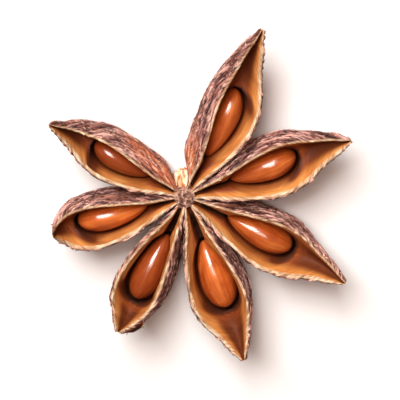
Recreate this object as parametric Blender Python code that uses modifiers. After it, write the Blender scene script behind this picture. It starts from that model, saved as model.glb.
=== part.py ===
"""A star anise pod lying open side up, with the seed that shows in each carpel.

Seven woody, boat-shaped carpels stand round a short column, and an eighth has broken off and left a stub.
Each carpel has split along its upper seam, and holds one glossy seed in a close-fitting pocket.
+Z is up and the star's axis is the Z axis. The origin is the middle of the cut stalk's flat end, which
lies in the plane that the keels rest on. Lengths below are in millimetres and are scaled once, by MM.
"""

import math
from collections import namedtuple

import bmesh
import bpy
from mathutils import Vector, noise

MM = 0.001
FUSE_DISTANCE = 0.01
TRIM_SIZE = 60.0

# A carpel's heading is the direction of its tip, in degrees from +X. Roll tips its mouth to the right of
# someone looking outwards from the column, in degrees. Bow is how far its middle swings to the left, gape
# how far its lips stand open and beak how far its tip curls up. The last three are half the length and half
# the width of its seed, and the distance of the seed's middle from the star's axis.
Carpel = namedtuple("Carpel", "heading length half_width gape roll bow beak seed_length seed_width seed_at")
CARPELS = [
    Carpel(21.1, 19.7, 2.95, 1.01, 7, -0.3, 0.6, 3.95, 1.75, 9.3),
    Carpel(67.0, 21.3, 2.66, 0.97, 16, -0.60, 1.0, 4.20, 1.66, 9.1),
    Carpel(149.0, 17.4, 2.30, 0.90, -10, 0.22, 0.7, 3.60, 1.60, 8.05),
    Carpel(193.7, 15.2, 2.66, 0.97, -6, 0.35, 0.9, 4.10, 1.72, 8.5),
    Carpel(243.7, 16.7, 3.00, 0.87, 12, 0.4, 1.0, 4.20, 1.75, 9.4),
    Carpel(289.9, 19.6, 3.15, 1.03, 6, 0.0, 0.5, 4.15, 1.95, 10.1),
    Carpel(332.4, 20.3, 2.95, 1.02, 4, -0.05, 0.4, 4.10, 1.75, 9.6),
]

# Shape along a carpel, as pairs of (stage, value). The stage is 0 at the star's axis, CHAMBER_ENDS where
# the seed's pocket ends, and 1 at the tip, so that long and short carpels differ in their beaks.
CHAMBER_ENDS = 0.665
BEAK_EASING = 1.3
# Shares of the carpel's half width: the hull's girth, and half the gap between the two lips.
GIRTH = [(0.0, 0.13), (0.08, 0.21), (0.16, 0.37), (0.26, 0.60), (0.37, 0.83), (0.48, 0.96), (0.57, 1.0),
         (0.67, 0.87), (0.77, 0.62), (0.88, 0.37), (0.95, 0.21), (1.0, 0.09)]
MOUTH = [(0.0, 0.04), (0.08, 0.11), (0.16, 0.24), (0.26, 0.45), (0.37, 0.66), (0.48, 0.82), (0.57, 0.86),
         (0.67, 0.74), (0.77, 0.48), (0.88, 0.25), (0.95, 0.10), (1.0, 0.015)]
# Heights above the resting plane: the lips, and the keel, whose lowest stretch is trimmed flat.
LIP_HEIGHT = [(0.0, 7.0), (0.08, 7.3), (0.2, 7.8), (0.35, 8.1), (0.5, 8.1), (0.7, 7.9), (0.85, 8.0),
              (1.0, 8.8)]
KEEL_HEIGHT = [(0.0, 1.8), (0.1, 1.3), (0.2, 0.35), (0.3, -0.15), (0.42, -0.2), (0.52, 0.1), (0.64, 1.1),
               (0.76, 2.8), (0.88, 5.2), (0.96, 7.2), (1.0, 8.4)]
# Depths: the smooth valley below the lips, and the slit below the valley near the column.
VALLEY_DEPTH = [(0.0, 0.5), (0.2, 0.8), (0.35, 1.3), (0.5, 1.6), (0.62, 2.0), (0.72, 2.3), (0.82, 2.0),
                (0.91, 1.3), (0.97, 0.6), (1.0, 0.25)]
SLIT_DEPTH = [(0.0, 0.3), (0.1, 0.8), (0.2, 2.4), (0.3, 2.6), (0.5, 0.5), (0.62, 0.12), (1.0, 0.06)]
# How flat-bottomed the valley is: the power of its section's curve, high beside the seed and low in the beak.
VALLEY_POWER = [(0.0, 5.0), (0.45, 5.0), (0.6, 3.6), (0.72, 2.3), (0.85, 1.8), (1.0, 1.6)]
# Height of the line that a carpel rolls about: the seam at its ends and lower in its middle.
ROLL_AXIS = [(0.0, 7.3), (0.12, 6.5), (0.4, 4.9), (0.65, 5.1), (0.85, 7.2), (1.0, 9.0)]

LIP_THICKNESS = 0.50
LEAST_LIP = 0.10
SMALLEST_EDGE = 0.02
MOST_LIP_OF_GIRTH, MOST_LIP_OF_HEIGHT = 0.55, 0.40
LIP_INSIDE = 0.25
SHOULDER_SAG = 0.3
GIRTH_HEIGHT = 0.60
HULL_ROUNDNESS = 0.9
MOST_DROP, MOST_SLIT = 0.6, 0.3
SLIT_WIDTH, GROOVE_WIDTH, MOST_RIM = 0.55, 0.25, 0.86
GROOVE = 0.05
ROLL_STARTS, ROLL_ENDS = 0.04, 0.24
BEAK_STARTS = 0.72
CARPEL_STARTS, CARPEL_ENDS = 0.045, 0.985

# Seeds, and the clearance of the pocket that each lies in.
SEED_HALF_HEIGHT = 2.25
SEED_HEIGHT = 4.55
SEED_TAPER = 0.26
POCKET_CLEARANCE, POCKET_WALL = 0.33, 0.32

# The broken carpel's stub, as (reach, half width, bottom, top) of its sections, and its break's unevenness.
STUB_HEADING = 94.0
STUB_SECTIONS = [(0.4, 0.7, 1.6, 6.6), (1.0, 0.9, 1.5, 6.9), (1.6, 1.0, 1.7, 6.7), (2.1, 1.0, 2.2, 6.2),
                 (2.5, 0.75, 3.0, 5.4)]
STUB_SIDES = 10
BREAK_DEPTH, BREAK_LENGTH = 0.35, 0.55

# Broad wrinkles of the dried hull.
WRINKLE_DEPTH = 0.16
WRINKLE_LENGTH = 2.6

# Column, its rough top and the cut stalk, as a turned profile of (radius, height) from the top down.
COLUMN_PROFILE = [(0.0, 7.55), (0.75, 7.45), (1.15, 7.15), (1.35, 6.6), (1.45, 4.6), (1.75, 2.6), (2.05, 1.7),
                  (1.75, 1.05), (1.35, 0.7), (1.45, 0.0), (0.0, 0.0)]
COLUMN_SIDES = 20

# Steps of the meshes, and how near the pocket's outer end the sections stand closer.
STATIONS = 18
NEAR_POCKET_END = (-0.028, -0.008, 0.004)
LEAST_SPACING = 0.012
HULL_STEPS, SHOULDER_STEPS, SLOPE_STEPS, POCKET_STEPS = 4, 2, 2, 3
SEED_RINGS, SEED_SIDES = 10, 14

HUSK_COLOUR, HUSK_ROUGHNESS = (0.32, 0.15, 0.09, 1.0), 0.75
SEED_COLOUR, SEED_ROUGHNESS = (0.42, 0.11, 0.025, 1.0), 0.2


def along(knots, t):
    """The value at t of a smooth curve through the knots."""
    last = len(knots) - 1
    i = 0
    while i < last - 1 and t > knots[i + 1][0]:
        i += 1
    (t0, a), (t1, b) = knots[i], knots[i + 1]
    before, after = knots[max(i - 1, 0)], knots[min(i + 2, last)]
    rise_a = (b - before[1]) / (t1 - before[0]) * (t1 - t0)
    rise_b = (after[1] - a) / (after[0] - t0) * (t1 - t0)
    u = min(max((t - t0) / (t1 - t0), 0.0), 1.0)
    return (
        a * (1 + 2 * u) * (1 - u) ** 2
        + rise_a * u * (1 - u) ** 2
        + b * u * u * (3 - 2 * u)
        + rise_b * u * u * (u - 1)
    )


def smooth(low, high, t):
    u = min(max((t - low) / (high - low), 0.0), 1.0)
    return u * u * (3 - 2 * u)


def chamber_length(carpel):
    """Distance from the star's axis to the outer end of the seed's pocket."""
    return carpel.seed_at + carpel.seed_length + POCKET_CLEARANCE


def reach(carpel, t):
    """Distance from the star's axis at stage t."""
    chamber = chamber_length(carpel)
    pace = chamber / CHAMBER_ENDS
    if t <= CHAMBER_ENDS:
        return pace * t
    beyond = (t - CHAMBER_ENDS) / (1 - CHAMBER_ENDS)
    saved = pace * (1 - CHAMBER_ENDS) - (carpel.length - chamber)
    return chamber + pace * (t - CHAMBER_ENDS) - saved * beyond**BEAK_EASING


def pocket_round(carpel, t):
    """Share of the pocket's full breadth and depth at t, from 0 at its ends to 1 at its middle."""
    u = (reach(carpel, t) - carpel.seed_at) / (carpel.seed_length + POCKET_CLEARANCE)
    return math.sqrt(max(1 - u * u, 0.0)) * (1 + SEED_TAPER * min(max(u, -1.0), 1.0))


def section(carpel, t):
    """The closed outline of a carpel's wall at t: (sideways, height) points, from the keel up the left side."""
    girth = carpel.half_width * along(GIRTH, t)
    gap = max(carpel.half_width * carpel.gape * along(MOUTH, t), LEAST_LIP * smooth(0.0, 0.1, 1 - t) + 0.02)
    lip = along(LIP_HEIGHT, t) + carpel.beak * smooth(BEAK_STARTS, 1.0, t)
    keel = along(KEEL_HEIGHT, t) + carpel.beak * smooth(BEAK_STARTS, 1.0, t)
    height = lip - keel
    thick = min(LIP_THICKNESS, MOST_LIP_OF_GIRTH * girth, MOST_LIP_OF_HEIGHT * height)
    girth = max(girth, gap + thick)
    edge = lip - LIP_INSIDE * thick
    drop = min(along(VALLEY_DEPTH, t), MOST_DROP * height)
    power = along(VALLEY_POWER, t)
    share = pocket_round(carpel, t)
    pocket = (carpel.seed_width + POCKET_CLEARANCE) * share
    slit = SLIT_WIDTH * gap * smooth(0.5, 0.1, t)
    rim = max(min(max(pocket, slit), MOST_RIM * gap), GROOVE_WIDTH * gap)
    rim_height = edge - drop * (1 - (rim / gap) ** power)
    floor = lip - drop - min(along(SLIT_DEPTH, t), MOST_SLIT * height)
    if share > 0:
        floor = min(floor, SEED_HEIGHT - (SEED_HALF_HEIGHT + POCKET_CLEARANCE) * share)
    floor = min(floor, rim_height - GROOVE)
    depth = rim_height - floor
    widest = max(min(SEED_HEIGHT, rim_height - 0.3 * depth), floor + 0.35 * depth)
    pocket = min(max(pocket, rim), girth - min(thick, POCKET_WALL))

    side = []
    for i in range(1, HULL_STEPS + 1):
        a = math.pi / 2 * i / HULL_STEPS
        side.append((girth * math.sin(a) ** HULL_ROUNDNESS, keel + GIRTH_HEIGHT * height * (1 - math.cos(a))))
    for i in range(1, SHOULDER_STEPS + 1):
        b = i / SHOULDER_STEPS
        shoulder = GIRTH_HEIGHT + (1 - GIRTH_HEIGHT) * b
        w = girth + (gap + thick - girth) * b * b
        side.append((w, keel + height * shoulder - SHOULDER_SAG * thick * b))
    side.append((gap + 0.5 * thick, lip))
    side.append((gap, edge))
    for i in range(1, SLOPE_STEPS + 1):
        w = gap + (rim - gap) * i / SLOPE_STEPS
        side.append((w, edge - drop * (1 - (w / gap) ** power)))
    for i in range(POCKET_STEPS):
        a = math.pi / 2 * i / POCKET_STEPS
        side.append((pocket * math.cos(a), widest + (floor - widest) * math.sin(a)))
    return [(0.0, keel)] + side + [(0.0, floor)] + [(-w, z) for w, z in reversed(side)]


def hull_points():
    """How many of a section's points, counted from the keel on each side, lie on the wrinkled outside."""
    return HULL_STEPS + SHOULDER_STEPS


def placed(carpel, t, w, z):
    """A point of a carpel in the pod's frame, with the carpel's roll, bow and heading."""
    roll = math.radians(carpel.roll) * smooth(ROLL_STARTS, ROLL_ENDS, t)
    axis = along(ROLL_AXIS, t)
    rise = z - axis
    w, z = (
        w * math.cos(roll) - rise * math.sin(roll),
        axis + w * math.sin(roll) + rise * math.cos(roll),
    )
    w += carpel.bow * 4 * t * (1 - t)
    heading = math.radians(carpel.heading)
    out = reach(carpel, t)
    return Vector((
        out * math.cos(heading) - w * math.sin(heading),
        out * math.sin(heading) + w * math.cos(heading),
        z,
    ))


def wrinkled(point, centre, share):
    """A hull point pushed in or out by the broad wrinkles."""
    outward = (point - centre).normalized()
    return point + outward * WRINKLE_DEPTH * share * noise.noise(point / WRINKLE_LENGTH)


def stations():
    """Stages where sections stand: evenly spread, and closer at the pocket's outer end."""
    spread = [CARPEL_STARTS + (CARPEL_ENDS - CARPEL_STARTS) * i / (STATIONS - 1) for i in range(STATIONS)]
    close = [CHAMBER_ENDS + step for step in NEAR_POCKET_END]
    spread = [t for t in spread if all(abs(t - c) > LEAST_SPACING for c in close)]
    return sorted(spread + close)


def carpel_mesh(carpel):
    """A closed mesh: sections joined in rings, capped in the column and drawn to a point at the tip."""
    mesh = bmesh.new()
    rings = []
    for t in stations():
        outline = section(carpel, t)
        centre = placed(carpel, t, 0.0, 0.5 * (outline[0][1] + outline[hull_points()][1]))
        ring = []
        for i, (w, z) in enumerate(outline):
            point = placed(carpel, t, w, z)
            if min(i, len(outline) - i) <= hull_points():
                point = wrinkled(point, centre, smooth(0.1, 0.25, t))
            ring.append(mesh.verts.new(point * MM))
        rings.append(ring)
    count = len(rings[0])
    for near, far in zip(rings, rings[1:]):
        for i in range(count):
            j = (i + 1) % count
            mesh.faces.new((near[i], near[j], far[j], far[i]))
    mesh.faces.new(list(reversed(rings[0])))
    tip_section = section(carpel, 1.0)
    tip_height = 0.5 * (tip_section[0][1] + max(z for _, z in tip_section))
    tip = mesh.verts.new(placed(carpel, 1.0, 0.0, tip_height) * MM)
    for i in range(count):
        mesh.faces.new((rings[-1][i], rings[-1][(i + 1) % count], tip))
    bmesh.ops.recalc_face_normals(mesh, faces=mesh.faces)
    return mesh


def stub_mesh():
    """The short splintered root of the carpel that broke off."""
    mesh = bmesh.new()
    heading = math.radians(STUB_HEADING)
    outward = Vector((math.cos(heading), math.sin(heading), 0.0))
    sideways = Vector((-math.sin(heading), math.cos(heading), 0.0))
    rings = []
    for out, half_width, bottom, top in STUB_SECTIONS:
        ring = []
        for i in range(STUB_SIDES):
            a = 2 * math.pi * i / STUB_SIDES
            height = 0.5 * (bottom + top) + 0.5 * (top - bottom) * math.sin(a)
            point = outward * out + sideways * half_width * math.cos(a) + Vector((0.0, 0.0, height))
            splinter = BREAK_DEPTH * smooth(STUB_SECTIONS[0][0], STUB_SECTIONS[2][0], out)
            point += outward * splinter * noise.noise(point / BREAK_LENGTH)
            ring.append(mesh.verts.new(point * MM))
        rings.append(ring)
    for near, far in zip(rings, rings[1:]):
        for i in range(STUB_SIDES):
            j = (i + 1) % STUB_SIDES
            mesh.faces.new((near[i], near[j], far[j], far[i]))
    mesh.faces.new(list(reversed(rings[0])))
    mesh.faces.new(rings[-1])
    bmesh.ops.recalc_face_normals(mesh, faces=mesh.faces)
    return mesh


def new_object(name, mesh, collection, material):
    data = bpy.data.meshes.new(name)
    mesh.to_mesh(data)
    mesh.free()
    data.materials.append(material)
    obj = bpy.data.objects.new(name, data)
    collection.objects.link(obj)
    return obj


def new_material(name, colour, roughness):
    material = bpy.data.materials.new(name)
    material.use_nodes = True
    shader = material.node_tree.nodes["Principled BSDF"]
    shader.inputs["Base Color"].default_value = colour
    shader.inputs["Roughness"].default_value = roughness
    shader.inputs["Metallic"].default_value = 0.0
    return material


def new_collection(name, hidden=False):
    collection = bpy.data.collections.new(name)
    bpy.context.scene.collection.children.link(collection)
    collection.hide_render = hidden
    return collection


def column(collection, material):
    """The column with its knob and cut stalk, turned from its profile."""
    data = bpy.data.meshes.new("column")
    points = [(r * MM, 0.0, z * MM) for r, z in COLUMN_PROFILE]
    data.from_pydata(points, [(i, i + 1) for i in range(len(points) - 1)], [])
    data.materials.append(material)
    obj = bpy.data.objects.new("column", data)
    collection.objects.link(obj)
    turn = obj.modifiers.new("turn", "SCREW")
    turn.steps = turn.render_steps = COLUMN_SIDES
    turn.use_merge_vertices = True
    turn.merge_threshold = FUSE_DISTANCE * MM
    return obj


def seed(name, carpel, collection, material):
    """A plump drop with its narrow end towards the column, rolled with the carpel that holds it."""
    mesh = bmesh.new()
    bmesh.ops.create_uvsphere(mesh, u_segments=SEED_SIDES, v_segments=SEED_RINGS, radius=1.0)
    t = CHAMBER_ENDS * carpel.seed_at / chamber_length(carpel)
    heading = math.radians(carpel.heading)
    outward = Vector((math.cos(heading), math.sin(heading), 0.0))
    middle = placed(carpel, t, 0.0, SEED_HEIGHT)
    sideways = (placed(carpel, t, 1.0, SEED_HEIGHT) - middle).normalized()
    upward = (placed(carpel, t, 0.0, SEED_HEIGHT + 1.0) - middle).normalized()
    for vertex in mesh.verts:
        length, width, height = vertex.co.z, vertex.co.x, vertex.co.y
        swell = 1 + SEED_TAPER * length
        vertex.co = (
            middle
            + outward * carpel.seed_length * length
            + sideways * carpel.seed_width * width * swell
            + upward * SEED_HALF_HEIGHT * height * swell
        ) * MM
    bmesh.ops.recalc_face_normals(mesh, faces=mesh.faces)
    obj = new_object(name, mesh, collection, material)
    obj.data.shade_smooth()
    return obj


def applied(obj):
    """Makes the object's evaluated mesh its own and drops its modifiers."""
    graph = bpy.context.evaluated_depsgraph_get()
    data = bpy.data.meshes.new_from_object(obj.evaluated_get(graph))
    obj.modifiers.clear()
    obj.data = data


def fill_hollows(data):
    """Joins points that all but touch and keeps a mesh's main shell, so no sealed pocket is left in it."""
    mesh = bmesh.new()
    mesh.from_mesh(data)
    bmesh.ops.triangulate(mesh, faces=mesh.faces)
    bmesh.ops.remove_doubles(mesh, verts=mesh.verts, dist=SMALLEST_EDGE * MM)
    bmesh.ops.dissolve_degenerate(mesh, edges=mesh.edges, dist=SMALLEST_EDGE * MM)
    bmesh.ops.triangulate(mesh, faces=mesh.faces)
    mesh.faces.ensure_lookup_table()
    shells, seen = [], set()
    for start in mesh.faces:
        if start in seen:
            continue
        shell, queue = [], [start]
        seen.add(start)
        while queue:
            face = queue.pop()
            shell.append(face)
            sides = [edge for edge in face.edges if len(edge.link_faces) == 2]
            near = {other for edge in sides for other in edge.link_faces} - seen
            seen |= near
            queue.extend(near)
        shells.append(shell)
    shells.sort(key=len)
    inner = [face for shell in shells[:-1] for face in shell]
    bmesh.ops.delete(mesh, geom=inner, context="FACES")
    bmesh.ops.delete(mesh, geom=[v for v in mesh.verts if not v.link_faces], context="VERTS")
    mesh.to_mesh(data)
    mesh.free()


def pod(collection, material):
    """Carpels, stub and column joined in one solid, with the keels trimmed flat where they rest."""
    pieces = new_collection("fused_pieces")
    body = new_object("pod", carpel_mesh(CARPELS[0]), collection, material)
    for i, carpel in enumerate(CARPELS[1:], start=2):
        new_object(f"carpel_{i}", carpel_mesh(carpel), pieces, material)
    new_object("stub", stub_mesh(), pieces, material)
    column(pieces, material)
    join = body.modifiers.new("join", "BOOLEAN")
    join.operation = "UNION"
    join.operand_type = "COLLECTION"
    join.collection = pieces
    join.solver = "EXACT"
    applied(body)
    for obj in list(pieces.objects):
        bpy.data.objects.remove(obj)
    bpy.data.collections.remove(pieces)

    cutters = new_collection("cutters", hidden=True)
    slab = bmesh.new()
    bmesh.ops.create_cube(slab, size=TRIM_SIZE * MM)
    bmesh.ops.translate(slab, verts=slab.verts, vec=(0.0, 0.0, -0.5 * TRIM_SIZE * MM))
    below = new_object("below_rest", slab, cutters, material)
    below.hide_render = True
    below.display_type = "WIRE"
    trim = body.modifiers.new("trim", "BOOLEAN")
    trim.operation = "DIFFERENCE"
    trim.object = below
    trim.solver = "EXACT"
    applied(body)
    fill_hollows(body.data)
    return body


def main():
    for obj in list(bpy.data.objects):
        bpy.data.objects.remove(obj)
    collection = new_collection("star_anise_pod")
    husk = new_material("husk", HUSK_COLOUR, HUSK_ROUGHNESS)
    seed_coat = new_material("seed_coat", SEED_COLOUR, SEED_ROUGHNESS)
    pod(collection, husk)
    for i, carpel in enumerate(CARPELS, start=1):
        seed(f"seed_{i}", carpel, collection, seed_coat)


main()
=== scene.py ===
"""The looks of a star anise pod: wrinkled husk, smooth tan valleys, glossy seeds and a splintered stub.

Shapes are in millimetres in the pod's own frame (+Z up, the column on the Z axis, keels resting on Z = 0) and
are scaled once, by MM, when a mesh is made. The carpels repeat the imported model's sections with finer steps.
"""

import math
from collections import namedtuple

import bmesh
import bpy
from mathutils import Matrix, Vector, noise


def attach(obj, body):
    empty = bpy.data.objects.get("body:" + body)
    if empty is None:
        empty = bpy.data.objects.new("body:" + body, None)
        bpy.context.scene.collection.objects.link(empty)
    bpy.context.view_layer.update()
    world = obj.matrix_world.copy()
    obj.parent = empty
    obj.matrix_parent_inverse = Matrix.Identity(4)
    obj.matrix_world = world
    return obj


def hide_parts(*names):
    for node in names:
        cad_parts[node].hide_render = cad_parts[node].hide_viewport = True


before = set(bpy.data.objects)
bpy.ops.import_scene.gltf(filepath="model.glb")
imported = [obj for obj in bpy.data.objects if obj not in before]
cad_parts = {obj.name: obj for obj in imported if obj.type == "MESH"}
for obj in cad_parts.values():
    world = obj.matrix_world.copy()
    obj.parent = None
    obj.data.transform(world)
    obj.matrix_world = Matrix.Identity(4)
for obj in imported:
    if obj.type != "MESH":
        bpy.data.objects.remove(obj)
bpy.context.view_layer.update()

MM = 0.001

# A carpel's heading is the direction of its tip, in degrees from +X. Roll tips its mouth to the right of
# someone looking outwards from the column, in degrees. Bow is how far its middle swings to the left, gape
# how far its lips stand open and beak how far its tip curls up. Then come half the length and half the width
# of its seed, and the distance of the seed's middle from the star's axis. Torn is how far out the hull is
# torn on the side where the missing neighbour broke off, negative for the right side.
Carpel = namedtuple(
    "Carpel", "heading length half_width gape roll bow beak seed_length seed_width seed_at torn"
)
CARPELS = [
    Carpel(21.1, 19.7, 2.95, 1.01, 7, -0.3, 0.6, 3.95, 1.75, 9.3, 0),
    Carpel(67.0, 21.3, 2.66, 0.97, 16, -0.60, 1.0, 4.20, 1.66, 9.1, 6.0),
    Carpel(149.0, 17.4, 2.30, 0.90, -10, 0.22, 0.7, 3.60, 1.60, 8.05, -8.8),
    Carpel(193.7, 15.2, 2.66, 0.97, -6, 0.35, 0.9, 4.10, 1.72, 8.5, 0),
    Carpel(243.7, 16.7, 3.00, 0.87, 12, 0.4, 1.0, 4.20, 1.75, 9.4, 0),
    Carpel(289.9, 19.6, 3.15, 1.03, 6, 0.0, 0.5, 4.15, 1.95, 10.1, 0),
    Carpel(332.4, 20.3, 2.95, 1.02, 4, -0.05, 0.4, 4.10, 1.75, 9.6, 0),
]

# Shape along a carpel, as pairs of (stage, value). The stage is 0 at the star's axis, CHAMBER_ENDS where
# the seed's pocket ends, and 1 at the tip, so that long and short carpels differ in their beaks.
CHAMBER_ENDS = 0.665
BEAK_EASING = 1.3
# Shares of the carpel's half width: the hull's girth, and half the gap between the two lips.
GIRTH = [(0.0, 0.13), (0.08, 0.21), (0.16, 0.37), (0.26, 0.60), (0.37, 0.83), (0.48, 0.96), (0.57, 1.0),
         (0.67, 0.87), (0.77, 0.62), (0.88, 0.37), (0.95, 0.21), (1.0, 0.09)]
MOUTH = [(0.0, 0.04), (0.08, 0.11), (0.16, 0.24), (0.26, 0.45), (0.37, 0.66), (0.48, 0.82), (0.57, 0.86),
         (0.67, 0.74), (0.77, 0.48), (0.88, 0.25), (0.95, 0.10), (1.0, 0.015)]
# Heights above the resting plane: the lips, and the keel, whose lowest stretch is trimmed flat.
LIP_HEIGHT = [(0.0, 7.0), (0.08, 7.3), (0.2, 7.8), (0.35, 8.1), (0.5, 8.1), (0.7, 7.9), (0.85, 8.0),
              (1.0, 8.8)]
KEEL_HEIGHT = [(0.0, 1.8), (0.1, 1.3), (0.2, 0.35), (0.3, -0.15), (0.42, -0.2), (0.52, 0.1), (0.64, 1.1),
               (0.76, 2.8), (0.88, 5.2), (0.96, 7.2), (1.0, 8.4)]
# Depths: the smooth valley below the lips, and the slit below the valley near the column.
VALLEY_DEPTH = [(0.0, 0.5), (0.2, 0.8), (0.35, 1.3), (0.5, 1.6), (0.62, 2.0), (0.72, 2.3), (0.82, 2.0),
                (0.91, 1.3), (0.97, 0.6), (1.0, 0.25)]
SLIT_DEPTH = [(0.0, 0.3), (0.1, 0.8), (0.2, 2.4), (0.3, 2.6), (0.5, 0.5), (0.62, 0.12), (1.0, 0.06)]
# How flat-bottomed the valley is: the power of its section's curve, high beside the seed and low in the beak.
VALLEY_POWER = [(0.0, 5.0), (0.45, 5.0), (0.6, 3.6), (0.72, 2.3), (0.85, 1.8), (1.0, 1.6)]
# Height of the line that a carpel rolls about: the seam at its ends and lower in its middle.
ROLL_AXIS = [(0.0, 7.3), (0.12, 6.5), (0.4, 4.9), (0.65, 5.1), (0.85, 7.2), (1.0, 9.0)]

LIP_THICKNESS = 0.50
LEAST_LIP, LEAST_GAP = 0.10, 0.02
MOST_LIP_OF_GIRTH, MOST_LIP_OF_HEIGHT = 0.55, 0.40
LIP_ROUNDING = 0.3
# How pale the lip is on its outer edge, where the hull's crust still covers it.
LIP_CRUST = 0.15
GIRTH_HEIGHT = 0.60
HULL_ROUNDNESS = 0.9
MOST_DROP, MOST_SLIT = 0.6, 0.3
SLIT_WIDTH, GROOVE_WIDTH, MOST_RIM = 0.55, 0.25, 0.86
SLIT_FULL, SLIT_ENDS = 0.1, 0.5
RIM_ROUNDING = 0.16
# Where a pocket is widest, in shares of its depth: at most this close to its rim and to its floor.
BELOW_RIM, ABOVE_FLOOR = 0.3, 0.35
# Depths at which painted shade in a hollow starts and is at its darkest.
SHADE_STARTS, SHADE_FULL = 0.35, 0.9
# The shade round a seed: how far it reaches, in shares of its pocket, and how dark it is at its outer end.
# Nearer the column it is only a share as dark, and it deepens between two places along the pocket.
POOL_ENDS, POOL_DARKNESS = 1.17, 0.86
POOL_INNER, POOL_DEEPENS, POOL_FULL = 0.17, 0.2, 0.95
GROOVE = 0.05
# Stages at which the roll sets in, the beak starts, the pocket's end has run out and the carpel starts and
# ends.
ROLL_STARTS, ROLL_ENDS = 0.04, 0.24
BEAK_STARTS = 0.72
POCKET_GONE = CHAMBER_ENDS + 0.03
CARPEL_STARTS, CARPEL_ENDS = 0.045, 0.992

SEED_HALF_HEIGHT = 2.25
SEED_HEIGHT = 4.55
SEED_TAPER = 0.26
POCKET_CLEARANCE, POCKET_WALL = 0.33, 0.32
# How square a seed's section is, how deep its dents are, and how narrow the painted highlight along its top
# is.
SEED_SQUARENESS, SEED_DENT, LIT_TOP_SHARPNESS = 1.06, 0.012, 12
SEED_RINGS, SEED_SIDES = 64, 56
# How dark a chestnut each seed is, from 0 for the palest to 1.
SEED_TONES = (0.35, 0.42, 1.0, 0.0, 0.85, 0.08, 0.38)

# Steps of a carpel's mesh, along it and round its section, and extra sections close to the pocket's end.
STATIONS = 160
HULL_STEPS, SHOULDER_STEPS, LIP_STEPS, SLOPE_STEPS, POCKET_STEPS = 40, 20, 8, 18, 12
EXTRA_STATIONS = [CHAMBER_ENDS + step for step in (-0.0035, -0.0015, -0.0004, 0.0004, 0.002)]
# Keeps the noise of one carpel and its seed apart from the next one's.
APART = 10.0

# Wrinkles of the dried hull, as (length along the carpel, width across it, depth), how much they slant and
# how far up their crests the hull's true surface lies. They grow out of the smooth root between two distances
# from the axis.
WRINKLES = [(4.2, 0.80, 0.22), (2.2, 0.42, 0.16), (1.0, 0.22, 0.08)]
WRINKLE_SLANT, WRINKLE_LEVEL = 0.16, 0.6
WRINKLES_START, WRINKLES_FULL = 1.2, 4.0
SWELL_LENGTH, SWELL_DEPTH = 3.0, 0.14
# The curl beside one carpel's tip: its carpel and side, how far out its middle is, half its length and how
# far it flares outwards. Then come depths below the lip, from where each band starts to where it is gone: the
# flare, the hollow above its edge, which is darkened with painted shade, and the pale edge itself.
CURLED_CARPEL, CURLED_SIDE = 5, 1
CURL_AT, CURL_LENGTH, CURL_FLARE = 15.7, 1.2, 0.62
FLARE_BAND = (0.05, 0.48, 0.60, 1.50)
HOLLOW_BAND = (0.10, 0.20, 0.36, 0.42)
EDGE_BAND = (0.36, 0.42, 0.70, 0.80)
# The torn streak's upper edge as (distance from the axis, height), where its lower edge starts and is full,
# and how gradually it ends.
TORN_TOP = [(0.0, 9.5), (3.0, 8.4), (6.0, 7.6), (9.0, 6.8), (24.0, 6.0)]
TORN_STARTS, TORN_FULL, TORN_FADE = 1.5, 4.0, 2.2
# Ragged edge of the lips, as (length, depth), and the slight unevenness of the valleys.
RAGGED = [(2.6, 0.09), (0.9, 0.045), (0.3, 0.025)]
RAGGED_FROM_TIP = 1.5
RIPPLE_LENGTH, RIPPLE_WIDTH, RIPPLE_DEPTH = 1.2, 0.8, 0.03

# Column, its rough top and the cut stalk, as a turned profile of (radius, height) from the top down.
COLUMN_PROFILE = [(0.0, 7.50), (0.40, 7.52), (0.80, 7.42), (1.12, 7.12), (1.32, 6.6), (1.42, 5.6),
                  (1.45, 4.6), (1.6, 3.6), (1.75, 2.6), (2.0, 1.9), (2.05, 1.6), (1.75, 1.05),
                  (1.38, 0.7), (1.36, 0.35), (1.45, 0.0), (0.0, 0.0)]
COLUMN_SIDES, COLUMN_STEP = 96, 0.09
# Crags as (size, depth), the heights between which the knob starts, how far its crags turn upwards and the
# share of their depth on the column's side.
KNOB_CRAGS = [(0.75, 0.22), (0.32, 0.13), (0.14, 0.06)]
KNOB_STARTS, KNOB_FULL, KNOB_UPTURN = 6.0, 7.0, 2.4
SIDE_CRAGS = 0.35

# The broken carpel's stub, as (reach, half width, bottom, top) of its sections.
STUB_HEADING = 94.0
STUB_SECTIONS = [(0.4, 0.7, 1.6, 7.0), (1.0, 0.9, 1.5, 7.1), (1.6, 1.0, 1.7, 6.9), (2.1, 1.0, 2.2, 6.4),
                 (2.45, 0.85, 2.8, 5.7), (2.6, 0.5, 3.4, 5.0)]
STUB_RINGS, STUB_SIDES = 36, 56
STUB_SWELL, STUB_RELIEF, STUB_JAGS = 0.10, 0.25, 0.5

# Heights above the table between which flakes start to show on the hulls, in millimetres.
FLAKES_CLEAR, FLAKES_FULL = 0.3, 0.9
# Chips, in metres: how many there are, and half their length, width and thickness.
FLAKES_PER_SQUARE_METRE, SPLINTERS_PER_SQUARE_METRE = 1.6e6, 7.0e6
SMALLEST_FLAKE, LARGEST_FLAKE = (0.00010, 0.00004, 0.00002), (0.00034, 0.00011, 0.00005)
SMALLEST_SPLINTER, LARGEST_SPLINTER = (0.00014, 0.00003, 0.00003), (0.00034, 0.00007, 0.00006)

# The camera looks almost straight down, tilted so that the upper carpels show a little of their outer walls.
VIEW_TILT = math.radians(14)
VIEW_CENTRE = Vector((1.7, -0.5, 6.0))
VIEW_WIDTH = 45.0
LENS, SENSOR = 200.0, 36.0

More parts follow.
